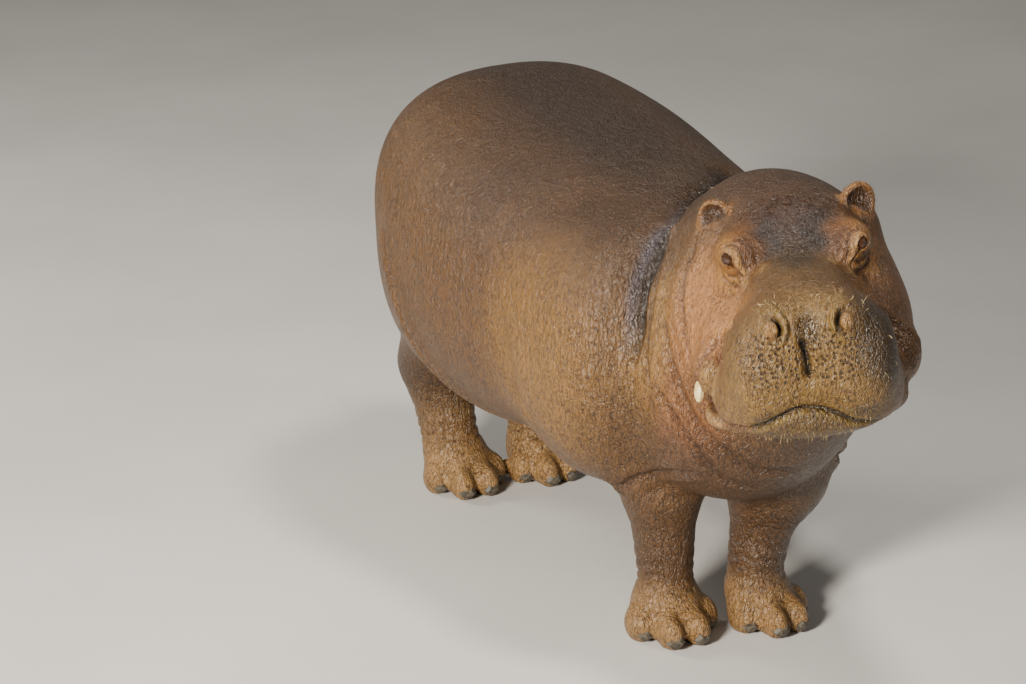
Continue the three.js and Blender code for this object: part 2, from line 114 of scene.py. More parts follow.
def blob(p, centre, radii, fullness):
    q = p - np.asarray(centre, float)
    ring = (np.abs(q / np.asarray(radii, float)) ** fullness).sum(-1) ** (1 / fullness)
    near = np.linalg.norm(q, axis=-1) * (1 - 1 / np.maximum(ring, 0.4))
    return np.where(ring > 0.4, near, -min(radii) * 0.6)


def limb(p, a, b, ra, rb):
    a = np.asarray(a, float)
    way = np.asarray(b, float) - a
    t = np.clip((p - a) @ way / (way @ way), 0, 1)
    return np.linalg.norm(p - a - t[..., None] * way, axis=-1) - (ra + (rb - ra) * t)


def blend(a, b, k):
    h = np.maximum(k - np.abs(a - b), 0) / k
    return np.minimum(a, b) - h * h * k * 0.25


def carve(a, b, k):
    return -blend(-a, b, k)


def along(values, y):
    last = len(TRUNK_Y) - 1
    i = np.clip(np.searchsorted(TRUNK_Y, y) - 1, 0, last - 1)
    before = np.maximum(np.arange(last + 1) - 1, 0)
    after = np.minimum(np.arange(last + 1) + 1, last)
    slope = (values[after] - values[before]) / (TRUNK_Y[after] - TRUNK_Y[before])
    w = TRUNK_Y[i + 1] - TRUNK_Y[i]
    t = np.clip((y - TRUNK_Y[i]) / w, 0, 1)
    return (
        values[i] * (1 + 2 * t) * (1 - t) ** 2
        + values[i + 1] * t * t * (3 - 2 * t)
        + slope[i] * w * t * (1 - t) ** 2
        - slope[i + 1] * w * t * t * (1 - t)
    )


# ---------------------------------------------------------------- the animal's forms
def trunk(p):
    first, last = TRUNK_Y[0], TRUNK_Y[-1]
    y = np.clip(p[..., 1], first, last)
    top, belly = along(TRUNK_TOP, y), along(TRUNK_BELLY, y)
    chest_end = np.clip((first + 0.3 - y) / 0.3, 0, 1)
    rump_end = np.clip((y - last + 0.36) / 0.36, 0, 1)
    close = np.sqrt(1 - chest_end**2.2) * np.sqrt(1 - rump_end**2.2)
    close = np.maximum(close, 0.02)
    half = along(TRUNK_HALF, y) * close
    tall = (top - belly) / 2 * close
    x = np.abs(p[..., 0] - along(TRUNK_SWAY, y))
    height = p[..., 2] - (top + belly) / 2
    half = half * (1 + 0.5 * along(TRUNK_LEAN, y) * np.clip(height / tall, -1, 1))
    z = np.abs(height)
    ring = ((x / half) ** 2.4 + (z / tall) ** 2.4) ** (1 / 2.4)
    d = np.hypot(x, z) * (1 - 1 / np.maximum(ring, 1e-3))
    d = np.where(ring < 0.3, (ring - 1) * np.minimum(half, tall), d)
    past = np.maximum(first - p[..., 1], p[..., 1] - last)
    return np.where(past > 0, np.hypot(np.maximum(d, 0), past), d)


def head(p):
    q = in_head(p)
    d = blob(q, (0, 0, 0.055), (0.215, 0.27, 0.21), 2.25)
    for s in (-1, 1):
        d = blend(d, ellipsoid(q, (s * 0.17, -0.16, -0.1), (0.155, 0.25, 0.18)), 0.1)
    d = blend(d, ellipsoid(q, (0, -0.38, 0.05), (0.165, 0.28, 0.13)), 0.1)
    d = blend(d, blob(q, (0, -0.57, -0.025), (0.205, 0.15, 0.172), 2.6), 0.08)
    for s in (-1, 1):
        lip = blob(q, (s * 0.13, -0.57, -0.055), (0.115, 0.155, 0.155), 2.4)
        nostril = ellipsoid(q, (s * 0.092, -0.64, 0.092), (0.062, 0.07, 0.06))
        corner = ellipsoid(q, (UPPER_LIP_X[s > 0], -0.495, -0.155), (0.083, 0.13, 0.105))
        d = blend(d, blend(blend(lip, nostril, 0.05), corner, 0.05), 0.05)
        d = blend(d, ellipsoid(q, (s * 0.163, -0.205, 0.172), (0.062, 0.09, 0.056)), 0.05)
        d = blend(d, ellipsoid(q, (s * 0.209, 0.03, 0.145), (0.042, 0.065, 0.056)), 0.04)
    jaw = ellipsoid(q, (0, -0.33, -0.165), (0.25, 0.33, 0.115))
    jaw = blend(jaw, blob(q, (0, -0.56, -0.175), (0.225, 0.145, 0.08), 2.5), 0.05)
    for s in (-1, 1):
        jaw = blend(jaw, ellipsoid(q, (s * 0.264, -0.315, -0.14), (0.066, 0.125, 0.09)), 0.05)
    for x in LOWER_LIP_X:
        jaw = blend(jaw, ellipsoid(q, (x, -0.43, -0.222), (0.062, 0.09, 0.045)), 0.03)
    return blend(d, jaw, 0.03) * HEAD_SIZE


def ear_place(s):
    return EAR_SEAT * np.array([s, 1, 1]), turn(s * 18, 0, s * 22)


def ear_ring(q, s):
    """Points in one ear's own frame, and how far out they lie: 1 at the rim of its shell."""
    seat, axes = ear_place(s)
    a = (q - seat) @ axes
    return a, np.hypot(a[:, 0] / EAR_WIDTH, a[:, 2] / EAR_HEIGHT)


def ear(p, s):
    q = in_head(p)
    seat, axes = ear_place(s)
    shell = ellipsoid(q, seat, (EAR_WIDTH, 0.028, EAR_HEIGHT), axes)
    hollow = seat + axes @ np.array((s * 0.004, -0.032, 0.008))
    return carve(shell, ellipsoid(q, hollow, (0.049, 0.034, 0.056), axes), 0.006) * HEAD_SIZE


def neck(p):
    nape = out_of_head((0, 0.023, -0.035))
    d = ellipsoid(p, (0.015, -0.74, 0.81), (0.335, 0.29, 0.35))
    d = blend(d, limb(p, (0.035, -0.66, 0.93), nape, 0.3, 0.24), 0.08)
    return blend(d, ellipsoid(p, (0.045, -0.72, 1.12), (0.22, 0.18, 0.18)), 0.06)


def tail(p):
    root = limb(p, (0, 0.74, 1.1), (0, 0.845, 0.92), 0.065, 0.045)
    return blend(root, limb(p, (0, 0.845, 0.92), TAIL_END, 0.044, 0.026), 0.03)


def foot(p, x, y, yaw, size):
    q = (p - np.array([x, y, 0])) @ turn(yaw)
    d = ellipsoid(q, (0, 0, 0.062), (0.106 * size, 0.116 * size, 0.08))
    for tx, ty in ((-0.105, -0.035), (-0.043, -0.12), (0.043, -0.12), (0.105, -0.035)):
        toe = ellipsoid(q, (tx * size, ty * size, 0.04), (0.038 * size, 0.06 * size, 0.05))
        d = blend(d, toe, 0.03)
    return np.maximum(d, -p[..., 2])


def leg(p, sole, shin, upper):
    return blend(blend(limb(p, *shin), limb(p, *upper), 0.08), foot(p, *sole), 0.05)


def flesh(p):
    d = blend(trunk(p), neck(p), 0.05)
    for s in (-1, 1):
        shoulder = ellipsoid(p, (s * 0.25, -0.42, 0.76), (0.2, 0.25, 0.34))
        breast = ellipsoid(p, (0, -0.66, 0.625), (0.22, 0.2, 0.17))
        d = blend(d, blend(shoulder, breast, 0.08), 0.12)
        d = blend(d, ellipsoid(p, (s * 0.2 - 0.008, 0.44, 0.71), (0.192, 0.24, 0.28)), 0.12)
    d = blend(d, np.minimum.reduce([leg(p, *parts) for parts in LEGS]), 0.05)
    d = blend(d, head(p), 0.1)
    for s in (-1, 1):
        d = blend(d, ear(p, s), 0.015)
    return np.maximum(blend(d, tail(p), 0.03), -p[..., 2])


# ---------------------------------------------------------------- mesh of a form
def in_parts(f, p, size=120000):
    return np.concatenate([f(p[i : i + size]) for i in range(0, len(p), size)])


def sampled(f, lo, counts, step):
    """f on a grid of points, worked out only in the blocks that the surface may cross."""
    block = 4
    cells = [c // block for c in counts]
    at = np.stack(np.meshgrid(*[np.arange(c) for c in cells], indexing="ij"), -1).reshape(-1, 3)
    middle = in_parts(f, lo + (at * block + (block - 1) / 2) * step)
    near = np.abs(middle) < block * step * 1.5
    out = np.repeat(np.sign(middle), block**3).reshape(-1, block, block, block)
    inner = np.stack(np.meshgrid(*[np.arange(block)] * 3, indexing="ij"), -1).reshape(-1, 3)
    fine = (at[near][:, None] * block + inner[None]).reshape(-1, 3)
    out[near] = in_parts(f, lo + fine * step).reshape(-1, block, block, block)
    out = out.reshape(*cells, block, block, block).transpose(0, 3, 1, 4, 2, 5)
    return out.reshape(*[c * block for c in cells])


def surface(f, lo, hi, step):
    """Vertices and outward quads where f crosses zero: one vertex in each crossed cell."""
    lo = np.asarray(lo, float)
    counts = [4 * math.ceil((h - l) / step / 4) for l, h in zip(lo, hi)]
    grid = sampled(f, lo, counts, step)
    inside = grid < 0
    cells = tuple(n - 1 for n in grid.shape)
    corner = [(i, j, k) for i in (0, 1) for j in (0, 1) for k in (0, 1)]

    def at(a, c):
        return a[c[0] : c[0] + cells[0], c[1] : c[1] + cells[1], c[2] : c[2] + cells[2]]

    hits, total = np.zeros(cells), np.zeros((*cells, 3))
    for n, a in enumerate(corner):
        for b in corner[n + 1 :]:
            if sum(abs(b[m] - a[m]) for m in range(3)) != 1:
                continue
            crossed = at(inside, a) != at(inside, b)
            fa, fb = at(grid, a), at(grid, b)
            t = np.where(crossed, fa / np.where(crossed, fa - fb, 1), 0)
            for m in range(3):
                total[..., m] += np.where(crossed, a[m] + t * (b[m] - a[m]), 0)
            hits += crossed
    used = hits > 0
    number = np.full(cells, -1)
    number[used] = np.arange(used.sum())
    points = lo + (np.argwhere(used) + total[used] / hits[used][:, None]) * step
    quads = []
    for axis in range(3):
        a = [slice(None)] * 3
        b = [slice(None)] * 3
        a[axis], b[axis] = slice(0, -1), slice(1, None)
        place = np.argwhere(inside[tuple(a)] != inside[tuple(b)])
        starts_inside = inside[tuple(a)][tuple(place.T)]
        one, two = np.eye(3, dtype=int)[[m for m in range(3) if m != axis]]
        quad = np.stack([number[tuple((place - c).T)] for c in (one + two, two, 0 * one, one)], 1)
        backwards = ~starts_inside if axis != 1 else starts_inside
        quad[backwards] = quad[backwards][:, ::-1]
        quads.append(quad)
    return points, np.concatenate(quads)


def slope_of(f, p, e=0.0015):
    corners = np.array([[1, -1, -1], [-1, -1, 1], [-1, 1, -1], [1, 1, 1]])
    g = sum(c * in_parts(f, p + c * e)[:, None] for c in corners)
    return g / np.maximum(np.linalg.norm(g, axis=1), 1e-12)[:, None]


def onto(f, p, times=2):
    for _ in range(times):
        p = p - slope_of(f, p) * in_parts(f, p)[:, None] * 0.95
    return p


# ---------------------------------------------------------------- folds and wrinkles
def step_up(x, a, b):
    t = np.clip((x - a) / (b - a), 0, 1)
    return t * t * (3 - 2 * t)


def bell(x, width):
    return np.exp(-((x / width) ** 2))


def smooth_path(points, cuts=6):
    pts = np.asarray(points, float)
    ends = np.vstack([2 * pts[0] - pts[1], pts, 2 * pts[-1] - pts[-2]])
    out = []
    for i in range(1, len(ends) - 2):
        for t in np.arange(cuts) / cuts:
            a, b, c, d = ends[i - 1 : i + 3]
            square, cube = 2 * a - 5 * b + 4 * c - d, 3 * b - a - 3 * c + d
            out.append(0.5 * (2 * b + (c - a) * t + square * t * t + cube * t**3))
    return np.array(out + [pts[-1]])


def path_distance(p, points, reach):
    """Distance to a smooth path, and how far along it from 0 to 1. Far points get a large one."""
    path = smooth_path(points)
    near = np.all((p > path.min(0) - reach) & (p < path.max(0) + reach), axis=1)
    best = np.full(len(p), 9.0)
    where = np.zeros(len(p))
    q = p[near]
    d, w = np.full(len(q), 9.0), np.zeros(len(q))
    for i in range(len(path) - 1):
        way = path[i + 1] - path[i]
        t = np.clip((q - path[i]) @ way / (way @ way), 0, 1)
        e = np.linalg.norm(q - path[i] - t[:, None] * way, axis=1)
        closer = e < d
        d[closer] = e[closer]
        w[closer] = (i + t[closer]) / (len(path) - 1)
    best[near], where[near] = d, w
    return best, where


def ends_fade(w):
    return np.sqrt(np.clip(4 * w * (1 - w) * 2.2, 0, 1))


def fold(p, points, depth, width, lip=0.0):
    d, w = path_distance(p, points, width * 5)
    return (-depth * bell(d, width) + lip * bell(d - width * 2.2, width * 1.2)) * ends_fade(w)


# Folds are drawn a little roughly, then laid onto the body
NECK_CREASE = [(0.36, -0.5, 0.9), (0.32, -0.4, 1.05), (0.235, -0.297, 1.159), (0.126, -0.376, 1.168),
               (0.006, -0.453, 1.167), (-0.114, -0.555, 1.174), (-0.161, -0.576, 1.142), (-0.204, -0.604, 1.109),
               (-0.24, -0.63, 1.074), (-0.273, -0.651, 1.031), (-0.3, -0.675, 0.977), (-0.318, -0.696, 0.914),
               (-0.33, -0.7, 0.84)]
FLANK_FOLD = [(-0.49, 0.39, 0.93), (-0.503, 0.34, 0.81), (-0.505, 0.29, 0.731), (-0.492, 0.257, 0.65),
              (-0.464, 0.204, 0.579), (-0.429, 0.142, 0.527), (-0.38, 0.05, 0.46), (-0.35, -0.07, 0.42)]
NECK_ROLLS = [
    [(-0.153, -0.679, 1.212), (-0.184, -0.625, 1.13), (-0.237, -0.658, 1.07), (-0.278, -0.694, 1.003),
     (-0.306, -0.719, 0.931), (-0.321, -0.74, 0.85), (-0.312, -0.767, 0.736)],
    [(-0.196, -0.77, 1.167), (-0.227, -0.769, 1.089), (-0.261, -0.806, 1.034), (-0.289, -0.871, 0.976),
     (-0.302, -0.92, 0.905), (-0.284, -0.912, 0.839)],
    [(-0.289, -0.777, 0.964), (-0.301, -0.819, 0.902), (-0.296, -0.856, 0.835), (-0.272, -0.883, 0.755),
     (-0.238, -0.905, 0.695), (-0.184, -0.929, 0.644), (-0.11, -0.941, 0.591), (0.02, -0.95, 0.57)],
    [(-0.318, -0.774, 0.8), (-0.305, -0.819, 0.764), (-0.256, -0.862, 0.666), (-0.194, -0.874, 0.578),
     (-0.08, -0.89, 0.52)],
]
ARM_FOLD = [(-0.3, -0.5, 0.42), (-0.285, -0.554, 0.429), (-0.272, -0.617, 0.475), (-0.25, -0.656, 0.493),
            (-0.246, -0.758, 0.537), (-0.226, -0.822, 0.553)]
SHOULDER_LINE = [(-0.47, -0.25, 0.86), (-0.469, -0.272, 0.766), (-0.45, -0.321, 0.637), (-0.41, -0.39, 0.54),
                 (-0.352, -0.47, 0.469)]
# On the face, in the head's frame, for the right side
LOBE_EDGE = [(-0.205, -0.56, 0.09), (-0.222, -0.46, 0.04), (-0.231, -0.365, -0.022), (-0.245, -0.388, -0.059),
             (-0.266, -0.421, -0.085), (-0.286, -0.434, -0.119), (-0.297, -0.421, -0.164)]
CHEEK_FOLD = [(-0.247, -0.35, -0.033), (-0.286, -0.366, -0.078), (-0.323, -0.361, -0.131)]
MOUTH_GAP = [(-0.31, -0.3, -0.205), (-0.312, -0.37, -0.2), (-0.304, -0.424, -0.186), (-0.29, -0.5, -0.19),
             (-0.277, -0.535, -0.215), (-0.245, -0.59, -0.222), (-0.211, -0.635, -0.212)]
LIP_LINE = [(-0.211, -0.635, -0.212), (-0.175, -0.673, -0.19), (-0.15, -0.69, -0.179), (-0.111, -0.707, -0.157),
            (-0.06, -0.711, -0.136), (-0.004, -0.707, -0.138), (0.043, -0.708, -0.156), (0.09, -0.7, -0.189),
            (0.14, -0.675, -0.215), (0.19, -0.63, -0.235)]
PHILTRUM = [(-0.02, -0.715, 0.062), (-0.017, -0.719, 0.028), (-0.014, -0.721, -0.005), (-0.013, -0.72, -0.031)]
# Round the eye, in eyeball radii: towards the nose, up
UPPER_LID = [(-0.7, 0.9), (0, 1.08), (0.8, 0.75), (1.25, 0.1), (1.4, -0.6), (1.5, -1.2), (1.6, -1.7)]
LID_GROOVE = [(-1.2, 1.0), (0, 1.42), (0.95, 1.1), (1.6, 0.3), (1.78, -0.5), (1.9, -1.25)]
BROW_FURROW = [(-0.5, 2.0), (0.54, 1.85), (1.4, 1.25), (2.05, 0.35), (2.4, -0.75)]
LOWER_FOLDS = [
    [(-1.0, -0.3), (-1.35, -1.1), (-1.1, -1.75), (-0.3, -2.05), (0.5, -1.9), (1.05, -1.55)],
    [(-2.0, -0.4), (-2.35, -1.5), (-1.8, -2.4), (-0.6, -2.85), (0.6, -2.85), (1.4, -3.1)],
]
LID_HEIGHTS = [("lid", 0.17), ("groove", -0.2), ("furrow", -0.2), ("folds", -0.17), ("ridges", 0.1),
               ("tear", -0.2)]
SLIT_CENTRE = (0.38, -0.12)
SLIT_AXIS = (0.5, -0.866)
SLIT_LENGTH, SLIT_WIDTH = 0.8, 0.54
TEAR_LINE = [(0.75, -0.78), (0.98, -1.25), (1.3, -1.6), (1.55, -1.8)]


def mirrored(path):
    return [(-x, y, z) for x, y, z in path]


def both(path):
    return path, mirrored(path)


def laid(path, f=None):
    """A path brought onto a form's surface."""
    return onto(f or flesh, smooth_path(path, 3), 3)


def on_face(path, s=-1):
    """A path given in the head's frame for the right side, on side s, in body coordinates."""
    return laid([out_of_head((-s * x, y, z)) for x, y, z in path])


def lip_distance(p, path):
    """Distance to a line drawn in the head's frame, once it is laid onto the body."""
    return path_distance(p, laid([out_of_head(v) for v in path]), 0.06)[0]


def cleft(d, depth, sharp, round_off):
    """A deep fold's profile: a sharp bottom that rounds off on both sides."""
    return -depth * (0.45 * bell(d, sharp) + 0.55 * bell(d, round_off))


def neck_fold(p):
    """The deep fold before the shoulders: depth, distance, how far behind it, and end fade."""
    path = laid(NECK_CREASE)
    d, w = path_distance(p, path, 0.16)
    fade = ends_fade(w)
    reach = np.linalg.norm(smooth_path(path) - NECK_MIDDLE, axis=1)
    nearest = np.interp(w * (len(reach) - 1), np.arange(len(reach)), reach)
    past = np.linalg.norm(p - NECK_MIDDLE, axis=1) - nearest
    behind = 0.5 + 0.5 * np.tanh(past / 0.012)
    depth = -0.024 * bell(d, 0.014 + 0.03 * behind) - 0.016 * bell(d, 0.008)
    return depth * fade, d, behind, fade


def body_relief(p):
    d = neck_fold(p)[0]
    for path in both(FLANK_FOLD):
        d += fold(p, laid(path), 0.014, 0.018, 0.009)
    for path in NECK_ROLLS:
        d += fold(p, laid(path), 0.009, 0.011, 0.006)
    for path in NECK_ROLLS[:2]:
        d += fold(p, laid([(0.06 - x, y, z) for x, y, z in path]), 0.005, 0.012, 0.002)
    for path in both(ARM_FOLD):
        d += fold(p, laid(path), 0.012, 0.011, 0.008)
    for path in both(SHOULDER_LINE):
        d += fold(p, laid(path), 0.006, 0.03, 0.002)
    x, y, z = p.T
    # rings round the lower legs and ankles
    wave = 0.01 * np.sin(x * 31 + y * 17) + 0.006 * np.sin(y * 53 - x * 41 + 1)
    for level, depth in ((0.145, 0.0045), (0.172, 0.005), (0.205, 0.004), (0.245, 0.003), (0.3, 0.0025)):
        d -= depth * bell(z - level - wave, 0.0065) * step_up(-z, -0.4, -0.3)
    return d


def nostril_ring(q, s):
    a, b = q[:, 0] * s - NOSTRIL_X, q[:, 2] - NOSTRIL_Z
    return a, b, np.hypot(a / 0.95, b / 1.12)


def nostril_parts(q, s):
    """One nostril's flap, the dark opening round the flap's inner side, and the rim."""
    a, b, ring = nostril_ring(q, s)
    turned = np.arctan2(b, -a)
    front = step_up(-q[:, 1], 0.6, 0.66)
    flap = front * np.exp(-((ring / 0.0215) ** 4))
    opening = front * bell(ring - 0.0275, 0.0058) * bell(turned - 0.35, 1.25)
    rim = front * bell(ring - 0.041, 0.009) * bell(turned - 0.1, 1.3)
    return flap, opening, rim


def face_relief(p):
    """Depth changes on the head, in its own frame: lips, nostrils, mouth corners."""
    q = in_head(p)
    x, y, z = q.T
    d = np.zeros(len(p))
    front = step_up(-y, 0.6, 0.66)
    for s in (-1, 1):
        flap, opening, rim = nostril_parts(q, s)
        d += 0.008 * flap - 0.03 * opening + 0.009 * rim
        d -= front * 0.005 * bell(nostril_ring(q, s)[2] - 0.056, 0.006) * (x * s < 0.1)
        d += fold(p, on_face(LOBE_EDGE, s), 0.013 if s < 0 else 0.006, 0.012, 0.004)
        d += fold(p, on_face(CHEEK_FOLD, s), 0.008, 0.01, 0.004)
    along_cleft = path_distance(q, PHILTRUM, 0.05)[0]
    d += cleft(along_cleft, 0.026, 0.005, 0.014)
    d -= front * 0.007 * bell(x + 0.012, 0.03) * step_up(z, -0.09, 0.02) * (1 - step_up(z, 0.1, 0.15))
    d += cleft(lip_distance(p, LIP_LINE), 0.02, 0.005, 0.011)
    d += cleft(lip_distance(p, MOUTH_GAP), 0.026, 0.007, 0.013)
    return d * HEAD_SIZE


def eye_frame(s):
    """An eyeball's centre, and the axes towards the nose, up and outward."""
    centre = out_of_head(EYE_SEAT * np.array([s, 1, 1]))
    out = HEAD_AXES @ np.array([s * 0.67, -0.66, 0.33])
    out = out / np.linalg.norm(out)
    up = HEAD_AXES @ np.array([0, 0, 1.0])
    up = up - out * (up @ out)
    up = up / np.linalg.norm(up)
    return centre, -s * np.cross(up, out), up, out


def eye_parts(p, s):
    """Points seen from one eye, in its radii, and how strongly each fold round it shows there."""
    centre, inward, up, out = eye_frame(s)
    q = (p - centre) / EYE_RADIUS
    m, v, h = q @ inward, q @ up, q @ out
    flat = np.stack([m, v, 0 * m], 1)
    near = (np.hypot(m, v) < 6) & (h > -3.2) & (h < 2.5)

    def close_to(path, width):
        away, w = path_distance(flat, [(a, b, 0) for a, b in path], width * 4)
        return bell(away, width) * np.sqrt(np.clip(8 * w * (1 - w), 0, 1)) * near

    a = (m - SLIT_CENTRE[0]) * SLIT_AXIS[0] + (v - SLIT_CENTRE[1]) * SLIT_AXIS[1]
    b = -(m - SLIT_CENTRE[0]) * SLIT_AXIS[1] + (v - SLIT_CENTRE[1]) * SLIT_AXIS[0]
    gape = SLIT_WIDTH * (1 - (a / SLIT_LENGTH) ** 2) - np.abs(b)
    ridge_paths = [[(1.22 * x, 1.2 * y) for x, y in path] for path in LOWER_FOLDS]
    return {
        "m": m, "v": v, "h": h, "near": near, "r": np.hypot(m, v), "gape": gape,
        "lid": close_to(UPPER_LID, 0.3), "groove": close_to(LID_GROOVE, 0.16),
        "furrow": close_to(BROW_FURROW, 0.28), "tear": close_to(TEAR_LINE, 0.11),
        "folds": np.maximum(*[close_to(path, 0.17) for path in LOWER_FOLDS]),
        "ridges": np.maximum(*[close_to(path, 0.25) for path in ridge_paths]),
    }


def with_lids(p):
    """Moves the skin round each eyeball: rounded lids about a slanting slit, with their folds."""
    p = p.copy()
    for s in (-1, 1):
        e = eye_parts(p, s)
        out = eye_frame(s)[3]
        h, r = e["h"], e["r"]
        ball = np.sqrt(np.maximum(1 - r * r, 0))
        cover = np.sqrt(np.maximum(1.14**2 - r * r, 0))
        new = np.where(r < 1.14, -blend(-h, -cover, 0.3), h)
        for part, height in LID_HEIGHTS:
            new += height * e[part]
        open_ = step_up(e["gape"], -0.04, 0.04) * (r < 1.2)
        new = new * (1 - open_) + np.minimum(new, ball - 0.3) * open_
        moved = e["near"]
        p[moved] += ((new - h)[:, None] * out * EYE_RADIUS)[moved]
    return p


def relief(p):
    return body_relief(p) + face_relief(p)


# ---------------------------------------------------------------- the skin's mesh
def near_point(p, centre, reach):
    return np.linalg.norm(p - centre, axis=1) < reach


def ear_seat(s):
    return out_of_head(EAR_SEAT * (s, 1, 1))


def finer(p):
    """Where the skin's mesh is split once: head, ears, neck crease, feet and lower legs."""
    q = in_head(p)
    on_head = (np.abs(q[:, 0]) < 0.4) & (q[:, 1] < 0.02) & (q[:, 1] > -0.8) & (np.abs(q[:, 2]) < 0.34)
    ears = near_point(p, ear_seat(1), 0.09) | near_point(p, ear_seat(-1), 0.09)
    folds = path_distance(p, NECK_CREASE, 0.06)[0] < 0.05
    return on_head | ears | folds | (p[:, 2] < LOWER_LEG_TOP)


def finest(p):
    """Where it is split again: muzzle, mouth corner, ears and eyes."""
    q = in_head(p)
    muzzle = (q[:, 1] < -0.6) & (q[:, 2] > -0.26)
    corners = (q[:, 0] < -0.2) & (q[:, 1] < -0.3) & (q[:, 2] > -0.27) & (q[:, 2] < 0.08)
    out = muzzle | corners
    for s in (-1, 1):
        out |= near_point(p, ear_seat(s), 0.075)
        out |= near_point(p, eye_frame(s)[0], 0.075)
    return out


def lid_edges(p):
    return near_point(p, eye_frame(-1)[0], 0.04) | near_point(p, eye_frame(1)[0], 0.04)


def coordinates(mesh):
    co = np.empty(len(mesh.vertices) * 3)
    mesh.vertices.foreach_get("co", co)
    return co.reshape(-1, 3)


def build_skin():
    points, quads = surface(flesh, BODY_LO, BODY_HI, STEP)
    points = onto(flesh, points, 1)
    mesh = bpy.data.meshes.new("skin")
    mesh.from_pydata(points.tolist(), [], quads.tolist())
    for region in (finer, finest, lid_edges):
        bm = bmesh.new()
        bm.from_mesh(mesh)
        bm.faces.ensure_lookup_table()
        middle = np.array([f.calc_center_median() for f in bm.faces])
        chosen = np.flatnonzero(region(middle))
        edges = {e for i in chosen for e in bm.faces[i].edges}
        bmesh.ops.subdivide_edges(bm, edges=list(edges), cuts=1, use_grid_fill=True)
        bm.to_mesh(mesh)
        bm.free()
        p = coordinates(mesh)
        fresh = region(p)
        p[fresh] = onto(flesh, p[fresh], 1)
        mesh.vertices.foreach_set("co", p.ravel())
    # ease the vertices along the surface, then bring them back onto it
    p = coordinates(mesh)
    ends = np.empty(len(mesh.edges) * 2, int)
    mesh.edges.foreach_get("vertices", ends)
    ends = ends.reshape(-1, 2)
    count = np.bincount(ends.ravel(), minlength=len(p))[:, None]
    for _ in range(3):
        total = np.zeros_like(p)
        for m in range(3):
            total[:, m] += np.bincount(ends[:, 0], p[ends[:, 1], m], len(p))
            total[:, m] += np.bincount(ends[:, 1], p[ends[:, 0], m], len(p))
        p = p * 0.4 + total / count * 0.6
    p = onto(flesh, p, 2)
    normal = slope_of(flesh, p, 0.003)
    smooth = p
    raised = relief(p)
    p = p + normal * (raised - INSET)[:, None]
    p = with_lids(p)
    p[:, 2] = np.maximum(p[:, 2], 0.0006)
    mesh.vertices.foreach_set("co", in_row(p).ravel())
    mesh.update()
    mesh.shade_smooth()
    skin = bpy.data.objects.new("skin", mesh)
    bpy.context.collection.objects.link(skin)
    return skin, smooth, raised


skin, smooth_points, relief_here = build_skin()


# ---------------------------------------------------------------- colours of the regions
def linear(*rgb):
    c = np.array(rgb) / 255
    return np.where(c <= 0.04045, c / 12.92, ((c + 0.055) / 1.055) ** 2.4)


def patch(p, centre, radii, edge=0.5):
    ring = np.linalg.norm((p - np.asarray(centre)) / np.asarray(radii), axis=1)
    return 1 - step_up(ring, 1 - edge, 1 + edge)


# Colours are named as they look in warm light; the hide under them is darker and redder
SEEN_TO_HIDE = np.array([0.35, 0.305, 0.145])


